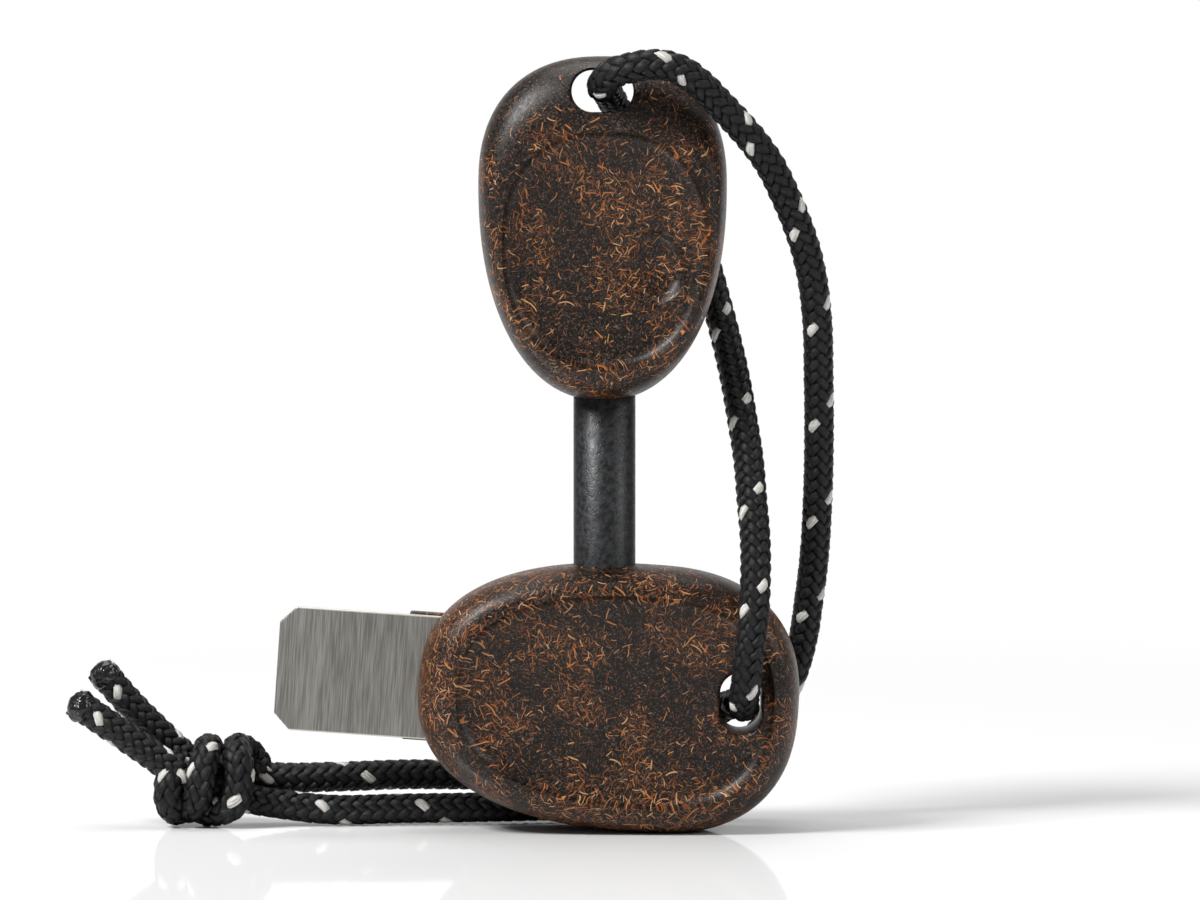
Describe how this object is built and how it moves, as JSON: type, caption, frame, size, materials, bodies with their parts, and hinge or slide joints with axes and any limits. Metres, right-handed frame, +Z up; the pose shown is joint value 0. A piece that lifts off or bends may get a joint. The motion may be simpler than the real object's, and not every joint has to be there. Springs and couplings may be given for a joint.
{
  "type": "ferro rod fire starter",
  "caption": "Pocket fire starter: two dished pebble handles of fibre composite, a ferrocerium rod stored in a socket, a flat steel striker and a knotted braided lanyard.",
  "frame": {"origin": "on the ground under the middle of the two handles and the blade, left to right and front to back", "axes": "+Z up along the rod, +X towards the blunt end of the striker handle, the front face towards -Y"},
  "size_m": [0.0813, 0.0227, 0.0819],
  "materials": {
    "fibre_composite": "satin dark brown with orange plant fibres",
    "striker_steel": "vertical brushed grain",
    "ferrocerium": "satin charcoal, finely pitted",
    "braided_cord": "black braid with one white strand"
  },
  "bodies": {
    "striker": {"striker_handle": "fibre_composite", "striker_blade": "striker_steel", "lanyard_front_run": "braided_cord", "lanyard_side_run": "braided_cord", "lanyard_knot": "braided_cord", "lanyard_end_upper": "braided_cord", "lanyard_end_lower": "braided_cord"},
    "rod_unit": {"ferro_rod": "ferrocerium", "rod_handle": "fibre_composite", "lanyard_top_loop": "braided_cord"}
  },
  "joints": [
    {"name": "rod_pull", "type": "slide", "parent": "striker", "child": "rod_unit", "axis": [0, 0, 1], "range_m": [0, 0.022]}
  ]
}
